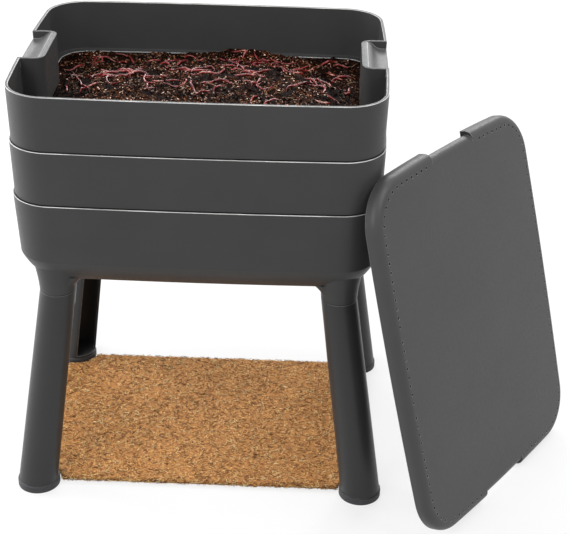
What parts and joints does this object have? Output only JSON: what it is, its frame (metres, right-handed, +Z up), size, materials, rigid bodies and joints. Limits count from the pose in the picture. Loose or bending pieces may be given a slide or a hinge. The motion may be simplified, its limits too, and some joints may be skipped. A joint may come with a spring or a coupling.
{
  "type": "wormery",
  "caption": "Stacking worm-composting trays on a four-legged liquid collector with drain tap, leaning vented lid and coir mat",
  "frame": {"origin": "on the floor, under the middle of the stand", "axes": "+X to the right along the long side of the trays, +Y to the back, +Z up"},
  "size_m": [0.9163, 0.5676, 0.686],
  "materials": {
    "tray_plastic": "fine moulded grain, dark grey",
    "lid_plastic": "fine moulded grain, grey",
    "leg_plastic": "smooth moulded, dark grey",
    "foot_rubber": "satin",
    "tap_plastic": "satin black",
    "seal_rubber": "matt",
    "screw_steel": "plain",
    "compost": "moist crumbly bedding with worms",
    "coir": "pressed coconut fibre"
  },
  "bodies": {
    "stand": {"base_reservoir": "tray_plastic", "leg_front_left": "leg_plastic", "leg_front_right": "leg_plastic", "leg_rear_left": "leg_plastic", "leg_rear_right": "leg_plastic", "foot_cap_front_left": "foot_rubber", "foot_cap_front_right": "foot_rubber", "foot_cap_rear_left": "foot_rubber", "foot_cap_rear_right": "foot_rubber", "tap_washer_upper": "seal_rubber", "tap_washer_lower": "seal_rubber", "tap_nut": "tap_plastic", "tap_body": "tap_plastic"},
    "lower_tray": {"tray_lower": "tray_plastic"},
    "upper_tray": {"tray_upper": "tray_plastic", "compost_bed": "compost"},
    "lid": {"lid": "lid_plastic"},
    "mat": {"coir_mat": "coir"},
    "tap_handle": {"tap_rotor": "tap_plastic", "tap_seal_rings": "seal_rubber", "tap_lever": "tap_plastic", "tap_lever_screw": "screw_steel"}
  },
  "joints": [
    {"name": "lower_tray_lift", "type": "slide", "parent": "stand", "child": "lower_tray", "axis": [0, 0, 1], "range_m": [0, 0.12]},
    {"name": "upper_tray_lift", "type": "slide", "parent": "lower_tray", "child": "upper_tray", "axis": [0, 0, 1], "range_m": [0, 0.12]},
    {"name": "lid_away", "type": "slide", "parent": "stand", "child": "lid", "axis": [0.8, -0.5295, 0.2823], "range_m": [0, 0.25]},
    {"name": "mat_lift", "type": "slide", "parent": "stand", "child": "mat", "axis": [0, 0, 1], "range_m": [0, 0.015]},
    {"name": "tap_turn", "type": "hinge", "parent": "stand", "child": "tap_handle", "pos_m": [0, 0, 0.349], "axis": [0, -1, 0], "range_deg": [0, 90]}
  ]
}
